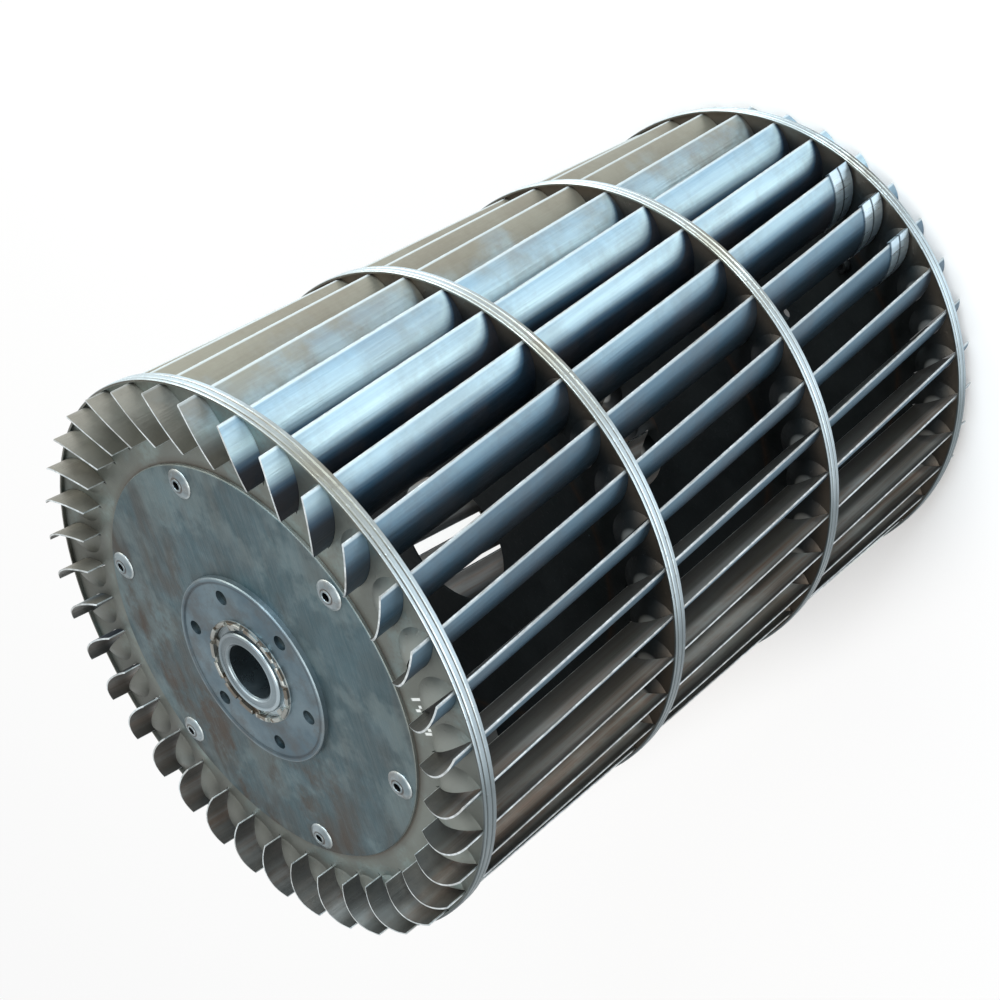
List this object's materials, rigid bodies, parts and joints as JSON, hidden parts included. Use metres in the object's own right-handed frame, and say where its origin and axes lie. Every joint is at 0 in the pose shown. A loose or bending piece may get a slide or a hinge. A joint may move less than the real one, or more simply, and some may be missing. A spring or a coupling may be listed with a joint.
{
  "type": "fan impeller",
  "caption": "Sheet steel blower wheel with long curved and skewed blades held by slotted ring plates, a riveted hub disc, a flange and a bush for the shaft at each end.",
  "frame": {"origin": "on the wheel axis, at the level of the rear ends of the blades", "axes": "+Z along the wheel axis, from the rear end to the front hub face seen in the picture; +X through a rivet of the front hub disc"},
  "size_m": [0.2526, 0.2526, 0.3765],
  "materials": {
    "blade_sheet": "zinc coated sheet, drawn in long streaks, lightly soiled",
    "ring_sheet": "zinc coated sheet, dull grey with faint spangle and rubbed rims",
    "disc_sheet": "dark zinc coated sheet with brown stains and fine scratches",
    "flange_steel": "pressed steel, satin, edges rubbed bright",
    "bush_steel": "turned steel with fine tool marks",
    "rivet_steel": "pulled rivet heads, satin",
    "clip_steel": "spring steel strip, smooth"
  },
  "bodies": {
    "root": {"blade_01": "blade_sheet", "blade_02": "blade_sheet", "blade_03": "blade_sheet", "blade_04": "blade_sheet", "blade_05": "blade_sheet", "blade_06": "blade_sheet", "blade_07": "blade_sheet", "blade_08": "blade_sheet", "blade_09": "blade_sheet", "blade_10": "blade_sheet", "blade_11": "blade_sheet", "blade_12": "blade_sheet", "blade_13": "blade_sheet", "blade_14": "blade_sheet", "blade_15": "blade_sheet", "blade_16": "blade_sheet", "blade_17": "blade_sheet", "blade_18": "blade_sheet", "blade_19": "blade_sheet", "blade_20": "blade_sheet", "blade_21": "blade_sheet", "blade_22": "blade_sheet", "blade_23": "blade_sheet", "blade_24": "blade_sheet", "blade_25": "blade_sheet", "blade_26": "blade_sheet", "blade_27": "blade_sheet", "blade_28": "blade_sheet", "blade_29": "blade_sheet", "blade_30": "blade_sheet", "blade_31": "blade_sheet", "blade_32": "blade_sheet", "blade_33": "blade_sheet", "blade_34": "blade_sheet", "blade_35": "blade_sheet", "blade_36": "blade_sheet", "front_ring": "ring_sheet", "middle_ring_upper": "ring_sheet", "middle_ring_lower": "ring_sheet", "rear_ring": "ring_sheet", "balance_clip_1": "clip_steel", "balance_clip_2": "clip_steel", "balance_clip_3": "clip_steel", "balance_clip_4": "clip_steel", "balance_clip_5": "clip_steel", "balance_clip_6": "clip_steel", "front_disc": "disc_sheet", "rear_disc": "disc_sheet", "front_flange": "flange_steel", "rear_flange": "flange_steel", "front_bush": "bush_steel", "rear_bush": "bush_steel", "front_rivets": "rivet_steel", "rear_rivets": "rivet_steel"}
  },
  "joints": []
}
